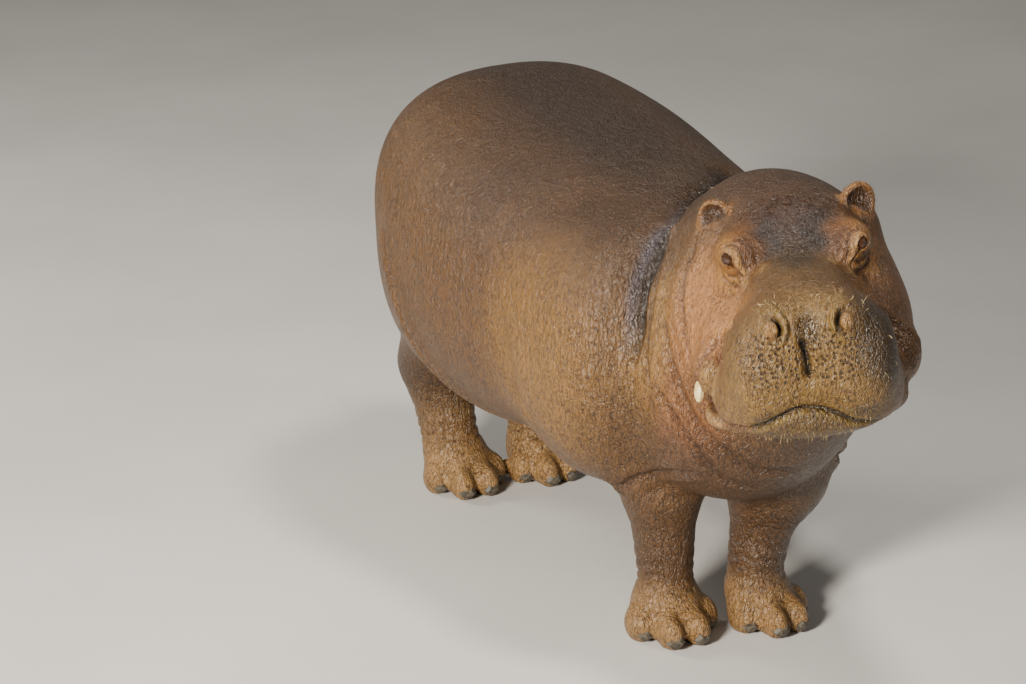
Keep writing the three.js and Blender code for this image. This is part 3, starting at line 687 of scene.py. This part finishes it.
def tones(p):
    """Colour, wetness and whisker pits of each point, from zones of the body, with painted shade in folds,
    hollows and on the shaded side, and painted highlights on the lit side and eye corners.
    """
    q = in_head(p)
    x, y, z = p.T
    hx, hy, hz = q.T
    ragged = q + 0.006 * np.sin(q[:, [1, 2, 0]] * 61 + 1) + 0.005 * np.sin(q[:, [2, 0, 1]] * 143 + 2)
    colour = np.tile(linear(136, 96, 50), (len(p), 1))

    def lay(mask, rgb):
        nonlocal colour
        colour = colour * (1 - mask[:, None]) + linear(*rgb) * mask[:, None]

    # painted shade: the top of the back, and more so the spine, laid darker where the side light falls off
    lay(step_up(z, 0.85, 1.22) * 0.85, (98, 68, 34))
    lay(step_up(z, 1.12, 1.24) * step_up(0.24 - np.abs(x), 0, 0.16) * 0.7, (66, 46, 24))
    # painted highlight: a paler patch on the rump, on the lit side only
    lay(patch(p, (-0.38, 0.45, 1.0), (0.25, 0.35, 0.25)) * 0.45, (166, 124, 70))
    # painted light: a paler shoulder, on the lit side only
    lay(patch(p, (-0.4, -0.4, 0.78), (0.2, 0.22, 0.28)) * 0.75, (200, 154, 92))
    lay(step_up(-z, -0.6, -0.42) * step_up(-np.abs(y - 0.1), -0.45, -0.3) * 0.7, (130, 92, 50))
    lay(patch(p, (0, -0.78, 0.85), (0.45, 0.24, 0.4)) * 0.7, (146, 112, 70))
    lay(patch(p, (-0.27, -0.86, 0.78), (0.1, 0.12, 0.22)) * 0.6, (204, 134, 108))
    # painted light: the neck's lit side laid paler
    lay(patch(p, (-0.3, -0.74, 0.92), (0.08, 0.09, 0.2)) * 0.7, (204, 160, 104))
    # painted shade: the throat under the head laid darker
    lay(patch(p, (-0.05, -0.86, 0.56), (0.3, 0.25, 0.16)) * 0.8, (112, 76, 42))
    # painted shade: the hind legs under the belly, and the chest and front legs, laid darker low down
    lay(step_up(-z, -0.56, -0.3) * step_up(y, 0.3, 0.5) * 0.9, (104, 74, 40))
    lay(step_up(-z, -0.5, -0.3) * step_up(-y, 0.2, 0.4) * 0.8, (112, 78, 40))
    lay(step_up(-z, -0.36, -0.2) * step_up(y, 0.3, 0.5) * 0.7, (190, 152, 122))
    lay(step_up(-z, -0.2, -0.08) * 0.8, (226, 184, 154))
    on_head = step_up(-hy, -0.05, 0.12) * step_up(0.44 - np.abs(hx), 0, 0.1) * step_up(hz, -0.4, -0.25)
    lay(on_head * 0.55, (172, 124, 74))
    lay(patch(ragged, (0, 0.04, 0.27), (0.24, 0.17, 0.12)) * 0.85, (104, 70, 38))
    for s in (-1, 1):
        lay(patch(q, (s * 0.26, -0.22, -0.02), (0.12, 0.2, 0.2)) * 0.9, (244, 178, 142))
        lay(patch(q, (s * 0.18, -0.42, 0.02), (0.07, 0.12, 0.12)) * 0.6, (214, 158, 104))
    # painted shade: the cheek on the side away from the light laid darker
    lay(patch(q, (0.28, -0.2, -0.03), (0.12, 0.26, 0.22)) * 0.75, (124, 88, 50))
    lay(patch(q, (0, -0.42, 0.17), (0.13, 0.2, 0.1)) * 0.8, (140, 110, 66))
    lay(patch(ragged, (0.0, -0.3, 0.2), (0.06, 0.12, 0.1)) * 0.85, (84, 66, 34))
    lay(patch(q, (0, -0.66, -0.02), (0.27, 0.14, 0.22), 0.3) * 0.95, (172, 138, 82))
    lay(patch(q, (-0.17, -0.68, 0.04), (0.05, 0.1, 0.1), 0.5) * 0.5, (140, 104, 52))
    lay(patch(q, (-0.2, -0.6, -0.14), (0.07, 0.14, 0.09), 0.5) * 0.6, (206, 166, 100))
    # painted shade: the muzzle's side away from the light laid darker
    lay(patch(q, (0.2, -0.66, 0.03), (0.09, 0.14, 0.15), 0.5) * 0.85, (70, 50, 26))
    lay(patch(q, (0, -0.7, -0.13), (0.24, 0.1, 0.06), 0.5) * 0.7, (166, 130, 56))
    lay(patch(ragged, (0, -0.15, 0.25), (0.15, 0.1, 0.1), 0.6) * 0.95, (84, 50, 22))
    for s in (-1, 1):
        lay(patch(ragged, (s * 0.085, -0.215, 0.21), (0.065, 0.09, 0.07), 0.5), (62, 36, 15))
        lay(patch(ragged, (s * 0.158, -0.235, 0.2), (0.056, 0.1, 0.075), 0.7) * 0.75, (196, 136, 86))
        lay(patch(q, (s * 0.205, -0.22, 0.16), (0.05, 0.1, 0.1), 0.4) * 0.8, (216, 160, 98))
        lay(patch(q, EAR_SEAT * (s, 1, 1), (0.08, 0.04, 0.075), 0.4) * 0.7, (164, 116, 72))
        a, ring = ear_ring(q, s)
        ring = ring + 9 * (np.abs(a[:, 1]) > 0.028)  # keeps the rim's colour off the skull
        lay(step_up(ring, 0.78, 0.9) * step_up(1.14 - ring, 0, 0.06) * (a[:, 2] > -0.01), (190, 140, 96))
        # painted shade: the ear's hollow laid darker
        lay((1 - step_up(ring, 0.62, 0.82)) * step_up(a[:, 2], -0.035, -0.01), (100, 68, 40))
        lay(patch(a, (-s * 0.012, -0.02, -0.03), (0.02, 0.03, 0.022), 0.4) * 0.9, (210, 150, 100))
    # the lips: pale inside the right corner, a dark band under the line across the front
    lay(patch(q, (-0.27, -0.46, -0.135), (0.05, 0.075, 0.075), 0.35) * 0.85, (224, 186, 138))
    lay(patch(q, (-0.29, -0.46, -0.235), (0.045, 0.085, 0.04), 0.3), (240, 196, 164))
    chin = step_up(-hy, 0.52, 0.6) * step_up(0.2 - np.abs(hx), 0, 0.04)
    line = lip_distance(p, LIP_LINE)
    below = chin * step_up(-hz, 0.13, 0.16)
    lay(below * 0.85, (118, 92, 40))
    lay(bell(line - 0.011, 0.006) * below * 0.8, (176, 150, 84))
    # painted shade: a dark line along the mouth's seam
    lay(bell(line, 0.006) * 0.9, (40, 26, 14))
    lay(bell(lip_distance(p, MOUTH_GAP), 0.012) * 0.9, (96, 34, 22))
    wet = patch(ragged, (0, -0.09, 0.26), (0.17, 0.055, 0.1), 0.5)
    wet = np.maximum(wet, patch(q, (-0.008, -0.7, 0.1), (0.035, 0.05, 0.045), 0.4))
    lay(patch(q, (-0.008, -0.7, 0.095), (0.036, 0.05, 0.05), 0.4) * 0.8, (92, 74, 52))
    # painted shade: a dark line down the cleft under the nose
    lay(bell(path_distance(q, PHILTRUM, 0.05)[0], 0.009), (30, 20, 14))
    pits = np.zeros(len(p))
    for s in (-1, 1):
        flap, opening, rim = nostril_parts(q, s)
        lay(rim * 0.7, (196, 168, 118))
        lay(flap * 0.9, (206, 160, 116))
        # painted shade: the nostril's opening laid near black
        lay(np.clip(opening * 1.3, 0, 1), (34, 22, 14))
        pits = np.maximum(pits, patch(q, (s * 0.088 - 0.02, -0.71, 0.015), (0.085, 0.1, 0.085), 0.25))
        lobe, cheek = [path_distance(p, on_face(path, s), 0.06)[0] for path in (LOBE_EDGE, CHEEK_FOLD)]
        # painted shade: dark lines along the lobe edge and the cheek fold
        lay(bell(lobe, 0.008) * (0.7 if s < 0 else 0.4), (116, 72, 36))
        lay(bell(cheek, 0.007) * 0.7, (116, 70, 36))
        e = eye_parts(p, s)
        lay(np.clip(e["lid"], 0, 1) * 0.9, (240, 196, 168))
        lay(np.clip(e["ridges"], 0, 1) * 0.5, (236, 184, 124))
        # painted shade: dark lines in the lid groove, lower folds, brow furrow and tear line
        for fold_name, strength in (("groove", 0.75), ("folds", 0.7), ("furrow", 0.6), ("tear", 0.9)):
            lay(np.clip(e[fold_name], 0, 1) * strength, (96, 54, 24))
        # painted shade: the lid's edge darkened, and the skin in the slit behind the eyeball laid near black
        lay(step_up(e["gape"], -0.16, -0.02) * (e["r"] < 1.3) * (e["h"] > 0) * 0.8, (84, 54, 40))
        lay(step_up(e["gape"], -0.02, 0.05) * (e["r"] < 1.3) * (e["h"] > 0), (30, 18, 12))
        # painted highlight: pale patches at the eye corners, which are also made wet
        inner = bell(np.hypot(e["m"] - 2.0, e["v"] + 2.3), 0.5)
        corner = np.clip(inner + bell(np.hypot(e["m"] - 3.7, e["v"] + 0.6), 0.45), 0, 1) * e["near"]
        wet = np.maximum(wet, corner)
        lay(corner * 0.6, (240, 214, 190))
    _, crease, behind, fade = neck_fold(p)
    # painted shade: a dark band behind the neck crease and a darker line in it
    lay(bell(crease - 0.014, 0.018) * behind * fade * 0.8, (62, 46, 36))
    lay(bell(crease, 0.012) * fade * 0.9, (40, 28, 18))
    # a bluish sheen behind the crease, where the photo's wet hide shines
    sheen = patch(p, (-0.25, -0.55, 1.0), (0.25, 0.3, 0.2))
    lay(bell(crease - 0.03, 0.014) * behind * fade * sheen * 0.5, (128, 136, 225))
    wet = np.maximum(wet, bell(crease - 0.026, 0.022) * behind * fade)
    # painted shade: dark lines along the neck rolls and the arm and flank folds
    for path in (*NECK_ROLLS, *both(ARM_FOLD), *both(FLANK_FOLD)):
        lay(bell(path_distance(p, laid(path), 0.05)[0], 0.009) * 0.6, (92, 58, 34))
    for path in both(FLANK_FOLD):
        lay(bell(path_distance(p, laid(path), 0.08)[0] - 0.028, 0.016) * 0.4, (176, 130, 80))
    return colour * SEEN_TO_HIDE, np.clip(wet, 0, 1), np.clip(pits, 0, 1)


def give(mesh, name, kind, values):
    attribute = mesh.attributes.new(name, kind, "POINT")
    if kind == "FLOAT_COLOR":
        values = np.hstack([values, np.ones((len(values), 1))])
        attribute.data.foreach_set("color", values.ravel().astype(np.float32))
    else:
        attribute.data.foreach_set("value", values.astype(np.float32))


colour, wet, pits = tones(smooth_points)
give(skin.data, "tone", "FLOAT_COLOR", colour)
give(skin.data, "wet", "FLOAT", wet)
give(skin.data, "pits", "FLOAT", pits)
face_map = skin.data.attributes.new("face", "FLOAT_VECTOR", "POINT")
flat_face = in_head(smooth_points)[:, [0, 2, 1]] * (1, 1, 0)
face_map.data.foreach_set("vector", flat_face.ravel().astype(np.float32))


# ---------------------------------------------------------------- materials
class Nodes:
    """A short way to write a material's nodes."""

    def __init__(self, name):
        self.material = bpy.data.materials.new(name)
        self.material.use_nodes = True
        self.tree = self.material.node_tree
        self.shader = self.tree.nodes["Principled BSDF"]

    def add(self, kind, **values):
        node = self.tree.nodes.new("ShaderNode" + kind)
        for key, value in values.items():
            if hasattr(node, key) and key not in node.inputs:
                setattr(node, key, value)
        return node

    def link(self, out, to):
        self.tree.links.new(out, to)

    def put(self, node, name, value):
        if hasattr(value, "is_output"):
            self.link(value, node.inputs[name])
        else:
            node.inputs[name].default_value = value

    def noise(self, where, scale, detail=4, rough=0.55, stretch=(1, 1, 1), warp=0.0):
        spot = self.stretched(where, stretch)
        node = self.add("TexNoise")
        self.put(node, "Vector", spot)
        self.put(node, "Scale", scale)
        self.put(node, "Detail", detail)
        self.put(node, "Roughness", rough)
        self.put(node, "Distortion", warp)
        return node.outputs["Fac"]

    def voronoi(self, where, scale, feature="F1", stretch=(1, 1, 1), random=1.0, space="3D"):
        node = self.add("TexVoronoi", feature=feature, voronoi_dimensions=space)
        self.put(node, "Vector", self.stretched(where, stretch))
        self.put(node, "Scale", scale)
        self.put(node, "Randomness", random)
        return node.outputs["Distance"]

    def stretched(self, where, stretch):
        if stretch == (1, 1, 1):
            return where
        node = self.add("Mapping")
        self.put(node, "Vector", where)
        self.put(node, "Scale", stretch)
        return node.outputs["Vector"]

    def between(self, value, a, b, low=0.0, high=1.0):
        node = self.add("MapRange", interpolation_type="SMOOTHSTEP")
        self.put(node, "Value", value)
        self.put(node, "From Min", a)
        self.put(node, "From Max", b)
        self.put(node, "To Min", low)
        self.put(node, "To Max", high)
        return node.outputs["Result"]

    def math(self, operation, a, b=0.0):
        node = self.add("Math", operation=operation)
        for i, value in enumerate((a, b)):
            self.put(node, i, value)
        return node.outputs[0]

    def mixed(self, amount, a, b, how="MIX"):
        node = self.add("Mix", data_type="RGBA", blend_type=how)
        self.put(node, 0, amount)
        for i, value in ((6, a), (7, b)):
            self.put(node, i, value if hasattr(value, "is_output") else (*value, 1))
        return node.outputs[2]

    def times(self, amount, base, factor):
        """base, with its colour multiplied by factor where amount is 1."""
        return self.mixed(amount, base, self.mixed(1.0, base, factor, "MULTIPLY"))

    def bump(self, height, distance, strength=1.0, normal=None):
        node = self.add("Bump")
        self.put(node, "Height", height)
        self.put(node, "Distance", distance)
        self.put(node, "Strength", strength)
        if normal is not None:
            self.put(node, "Normal", normal)
        return node.outputs["Normal"]


def skin_material():
    n = Nodes("hide")
    where = n.add("TexCoord").outputs["Object"]
    tone = n.add("Attribute", attribute_name="tone").outputs["Color"]
    wetness = n.add("Attribute", attribute_name="wet").outputs["Fac"]
    front = n.add("Attribute", attribute_name="face").outputs["Vector"]
    pitted = n.add("Attribute", attribute_name="pits").outputs["Fac"]
    broad = n.noise(where, 2.6, 5, 0.6)
    mottle = n.noise(where, 16, 6, 0.65)
    base = n.times(n.between(broad, 0.35, 0.7, 0.0, 0.6), tone, (0.66, 0.62, 0.58))
    base = n.times(n.between(mottle, 0.4, 0.75, 0.0, 0.55), base, (1.3, 1.25, 1.15))
    # dark pores, pale stubble, and fine wrinkles that run down the body
    pores = n.between(n.noise(where, 120, 2, 0.5, (1, 1, 0.7)), 0.52, 0.66)
    base = n.times(n.math("MULTIPLY", pores, 0.78), base, (0.34, 0.28, 0.22))
    stubble = n.between(n.noise(where, 240, 2, 0.6, (1.1, 1.1, 0.5)), 0.6, 0.72)
    base = n.times(n.math("MULTIPLY", stubble, 0.4), base, (1.8, 1.85, 1.9))
    waves = n.noise(where, 42, 3, 0.55, (1.3, 1.3, 0.42), 0.4)
    lines = n.math("ABSOLUTE", n.math("SUBTRACT", waves, 0.5))
    wrinkle = n.between(lines, 0.0, 0.05, 1.0, 0.0)
    base = n.times(n.math("MULTIPLY", wrinkle, 0.4), base, (0.45, 0.38, 0.3))
    spot = n.voronoi(front, 58, "F1", (1, 1, 1), 0.8, "2D")
    pit = n.math("MULTIPLY", n.between(spot, 0.13, 0.3, 1.0, 0.0), pitted)
    base = n.mixed(n.math("MULTIPLY", pit, 0.82), base, linear(44, 28, 16))
    n.put(n.shader, "Base Color", base)
    rough = n.between(mottle, 0.3, 0.7, 0.32, 0.46)
    damp = n.math("MULTIPLY", wetness, n.between(n.noise(where, 90, 3), 0.42, 0.6, 0.1, 1.0))
    n.put(n.shader, "Roughness", n.math("SUBTRACT", rough, n.math("MULTIPLY", damp, 0.24)))
    n.put(n.shader, "Specular IOR Level", 0.65)
    cracks = n.voronoi(where, 70, "DISTANCE_TO_EDGE", (1, 1.1, 0.6))
    fine = n.noise(where, 90, 4, 0.65, (1, 1, 0.7))
    grain = n.math("ADD", fine, n.between(cracks, 0.0, 0.12, -0.3, 0.0))
    grain = n.math("SUBTRACT", grain, n.math("MULTIPLY", wrinkle, 0.35))
    grain = n.math("SUBTRACT", grain, n.math("MULTIPLY", pit, 1.2))
    normal = n.bump(grain, 0.005, 1.0)
    normal = n.bump(n.noise(where, 22, 4, 0.6, (1.5, 1.5, 0.7)), 0.016, 0.6, normal)
    n.put(n.shader, "Normal", normal)
    return n.material


def simple_material(name, dark, light, scale, rough, coat=0.0, bump=0.0008):
    n = Nodes(name)
    where = n.add("TexCoord").outputs["Object"]
    mottle = n.noise(where, scale, 5, 0.6)
    n.put(n.shader, "Base Color", n.mixed(n.between(mottle, 0.35, 0.65), linear(*dark), linear(*light)))
    n.put(n.shader, "Roughness", n.between(mottle, 0.3, 0.7, rough, rough + 0.1))
    n.put(n.shader, "Coat Weight", coat)
    n.put(n.shader, "Normal", n.bump(n.noise(where, scale * 3, 3), bump, 0.6))
    return n.material


skin.data.materials.append(skin_material())
flesh_nodes = [
    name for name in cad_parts
    if not any(word in name for word in ("eye", "tusk", "nail"))
]
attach(skin, "root")
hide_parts(*flesh_nodes)


# ---------------------------------------------------------------- bristles
def unwrap(p):
    """Places on a flat map: the head rolled off round its own length, then the body round its own."""
    q = in_head(p)
    of_head = (q[:, 1] < 0.05) & (np.abs(q[:, 0]) < 0.4) & (q[:, 2] > -0.32)
    head_turned = np.arctan2(q[:, 0], q[:, 2]) / math.tau + 0.5
    body_turned = np.arctan2(p[:, 0], p[:, 2] - 0.8) / math.tau + 0.5
    u = np.where(of_head, 0.01 + 0.38 * head_turned, 0.41 + 0.57 * body_turned)
    v = np.where(of_head, (q[:, 1] + 0.9) / 1.1, (p[:, 1] + 1.2) / 2.3)
    return np.stack([u, 0.01 + 0.97 * np.clip(v, 0, 1)], 1)


CORNERS = 9  # of one bristle


def picked(chance):
    """Skin vertices where bristles grow, given how likely each one is to carry one."""
    return np.flatnonzero(rng.random(len(chance)) < chance)


def bristles(name, groups):
    """One mesh of tapering curved spikes, three rings of three corners each and a tip.

    Each group has roots, directions, length, thickness and colour.
    """
    points, colours, flat = [], [], []
    for roots, way, length, thick, shade in groups:
        away = slope_of(flesh, smooth_points[roots], 0.003)
        start = in_row(smooth_points[roots] + away * (relief_here[roots] - INSET - 0.0008)[:, None])
        aim = way + away * 0.25 + rng.normal(0, 0.32, away.shape)
        aim /= np.linalg.norm(aim, axis=1)[:, None]
        side = np.cross(aim, rng.normal(size=aim.shape))
        side /= np.linalg.norm(side, axis=1)[:, None]
        other = np.cross(aim, side)
        long = length * rng.uniform(0.6, 1.2, len(roots))[:, None]
        bend = side * long * rng.normal(0, 0.2, (len(roots), 1)) - np.array([0, 0, 0.18]) * long
        spot = unwrap(smooth_points[roots])
        for ring, (t, r) in enumerate(((0, 1), (0.5, 0.75), (1, 0.12))):
            middle = start + aim * long * t + bend * t * t
            for k in range(3):
                turned = k * math.tau / 3
                points.append(middle + (side * math.cos(turned) + other * math.sin(turned)) * thick * r)
                flat.append(spot + np.array([0.0015 * ring, 0.0014 * k]))
                colours.append(np.tile(linear(*shade) * (0.7 + 0.15 * ring), (len(roots), 1)))

    def by_spike(values):
        """From one array for each corner to the nine corners of each spike together."""
        starts = range(0, len(values), CORNERS)
        return np.vstack([np.stack(values[i : i + CORNERS], 1).reshape(-1, values[0].shape[1]) for i in starts])

    vertices, place, shade = by_spike(points), by_spike(flat), by_spike(colours)
    one = [(k + 3 * ring, (k + 1) % 3 + 3 * ring, (k + 1) % 3 + 3 * ring + 3, k + 3 * ring + 3)
           for ring in (0, 1) for k in range(3)]
    first = CORNERS * np.arange(len(vertices) // CORNERS)
    quads = (np.array(one)[None] + first[:, None, None]).reshape(-1, 4)
    tips = (np.array([[6, 7, 8]]) + first[:, None]).reshape(-1, 3)
    mesh = bpy.data.meshes.new(name)
    mesh.from_pydata(vertices.tolist(), [], quads.tolist() + tips.tolist())
    give(mesh, "tone", "FLOAT_COLOR", shade)
    corners = np.empty(len(mesh.loops), int)
    mesh.loops.foreach_get("vertex_index", corners)
    mesh.uv_layers.new(name="OFBake").data.foreach_set("uv", place[corners].ravel().astype(np.float32))
    mesh.shade_smooth()
    hair = bpy.data.objects.new(name, mesh)
    bpy.context.collection.objects.link(hair)
    n = Nodes("bristle")
    where = n.add("TexCoord").outputs["Object"]
    streak = n.between(n.noise(where, 60, 3), 0.35, 0.65, 0.0, 0.5)
    tone = n.add("Attribute", attribute_name="tone").outputs["Color"]
    n.put(n.shader, "Base Color", n.times(streak, tone, (0.6, 0.55, 0.5)))
    n.put(n.shader, "Roughness", 0.45)
    mesh.materials.append(n.material)
    return hair


def all_bristles():
    q = in_head(smooth_points)
    hx, hy, hz = q.T
    x, y, z = smooth_points.T
    plain = lip_distance(smooth_points, LIP_LINE) > 0.012
    for s in (-1, 1):
        plain &= ~near_point(smooth_points, eye_frame(s)[0], 0.06)
        flap, opening, _ = nostril_parts(q, s)
        plain &= (opening < 0.2) & (flap < 0.5)
    down, ahead = np.array([0, 0, -1.0]), HEAD_AXES @ np.array([0, -1.0, 0])
    muzzle_top = picked(plain * patch(q, (0, -0.63, 0.13), (0.17, 0.07, 0.05), 0.2) * 0.035)
    muzzle = picked(plain * patch(q, (0, -0.66, -0.04), (0.26, 0.12, 0.17), 0.2) * 0.012)
    fringe = bell(hz + 0.222 + 0.4 * hx * hx, 0.024)
    lip = picked(plain * (hy < -0.5) * (np.abs(hx) < 0.26) * fringe * 0.035)
    ear_rim = np.zeros(len(q))
    for s in (-1, 1):
        a, ring = ear_ring(q, s)
        on_rim = (ring > 0.85) * (ring < 1.15) * (np.abs(a[:, 1]) < 0.035) * (a[:, 2] > -0.03)
        ear_rim = np.maximum(ear_rim, on_rim)
    ears = picked(ear_rim * 0.14)
    around = (hy < -0.05) * (hz > -0.2) * (np.abs(hx) < 0.4)
    cheeks = picked(plain * around * (hy > -0.55) * 0.006)
    back = picked((y > -0.7) * (z > 0.45) * (z < 1.4) * 0.008)
    tip = (y > 0.8) & (z < 0.82) & (z > 0.6) & (np.abs(x) < 0.05)
    tail_end = picked(tip * (np.abs(x) > 0.008) * 0.6)
    flick = np.stack([np.sign(x[tail_end]), 0.3 + 0 * x[tail_end], -1.2 + 0 * x[tail_end]], 1)
    pale, brown, black = (226, 198, 148), (120, 84, 48), (30, 22, 18)
    return [
        (muzzle_top, np.array([0, 0, 0.6]) + ahead * 0.3, 0.022, 0.0006, pale),
        (muzzle, ahead * 0.5 + down * 0.4, 0.011, 0.0005, pale),
        (lip, down * 0.7, 0.012, 0.0005, (196, 166, 112)),
        (ears, np.array([0, 0, 0.4]), 0.014, 0.0005, brown),
        (cheeks, down * 0.7, 0.009, 0.0005, pale),
        (back, np.array([0, 1.6, -0.5]), 0.012, 0.0006, pale),
        (tail_end, flick, 0.05, 0.0008, black),
    ]


hair = bristles("bristles", all_bristles())
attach(hair, "root")

looks = {
    "eye": simple_material("eyeball", (30, 16, 9), (58, 34, 18), 60, 0.06, 0.6, 0.0001),
    "nail": simple_material("horn nail", (46, 42, 36), (92, 84, 70), 90, 0.45),
    "tusk": simple_material("ivory", (188, 160, 96), (226, 208, 158), 70, 0.25, 0.2),
}
for name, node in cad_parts.items():
    for word, look in looks.items():
        if word in name:
            node.data.materials.clear()
            node.data.materials.append(look)
            node.data.shade_smooth()

# ---------------------------------------------------------------- floor, light, camera
bpy.ops.mesh.primitive_plane_add(size=60, location=(0, 0, 0))
floor = bpy.context.object
floor.name = "floor"
paint = Nodes("pale floor")
spot = paint.add("TexCoord").outputs["Object"]
shade = paint.between(paint.noise(spot, 0.8, 4), 0.3, 0.7)
paint.put(paint.shader, "Base Color", paint.mixed(shade, (0.56, 0.55, 0.53), (0.62, 0.61, 0.59)))
paint.put(paint.shader, "Roughness", 0.75)
floor.data.materials.append(paint.material)

SENSOR_MM = 36
FOCAL_PIXELS, PHOTO_WIDTH = 3200, 1026
camera_data = bpy.data.cameras.new("camera")
camera_data.sensor_width = SENSOR_MM
camera_data.lens = FOCAL_PIXELS / PHOTO_WIDTH * SENSOR_MM
camera_data.clip_end = 200
camera = bpy.data.objects.new("camera", camera_data)
bpy.context.collection.objects.link(camera)
back = Vector((-0.46172, -0.81844, 0.34202))
right = Vector((0.87096, -0.49135, 0))
up = back.cross(right)
placed = Matrix((right, up, back)).transposed().to_4x4()
placed.translation = Vector(in_row((-4.36522, -7.22224, 3.68867)))
camera.matrix_world = placed
bpy.context.scene.camera = camera


def lamp(name, size, power, at, target=(0, -0.2, 0.7), colour=(1, 1, 1)):
    data = bpy.data.lights.new(name, "AREA")
    data.shape = "DISK"
    data.size = size
    data.energy = power
    data.color = colour
    light = bpy.data.objects.new(name, data)
    bpy.context.collection.objects.link(light)
    light.location = at
    light.rotation_euler = (Vector(at) - Vector(target)).to_track_quat("Z", "Y").to_euler()


lamp("key", 1.5, 1250, (-6.0, -3.6, 3.5), colour=(1, 0.93, 0.82))
lamp("fill", 5, 15, (3.4, -6.0, 2.6), colour=(1, 0.97, 0.93))
lamp("top", 0.8, 130, (0.3, -0.7, 4.8), colour=(1, 0.96, 0.9))
lamp("back", 2.0, 190, (-3.4, 4.6, 4.2), colour=(1, 0.95, 0.86))
world = bpy.data.worlds.new("studio")
world.use_nodes = True
world.node_tree.nodes["Background"].inputs[0].default_value = (1, 0.96, 0.9, 1)
world.node_tree.nodes["Background"].inputs[1].default_value = 0.19
bpy.context.scene.world = world
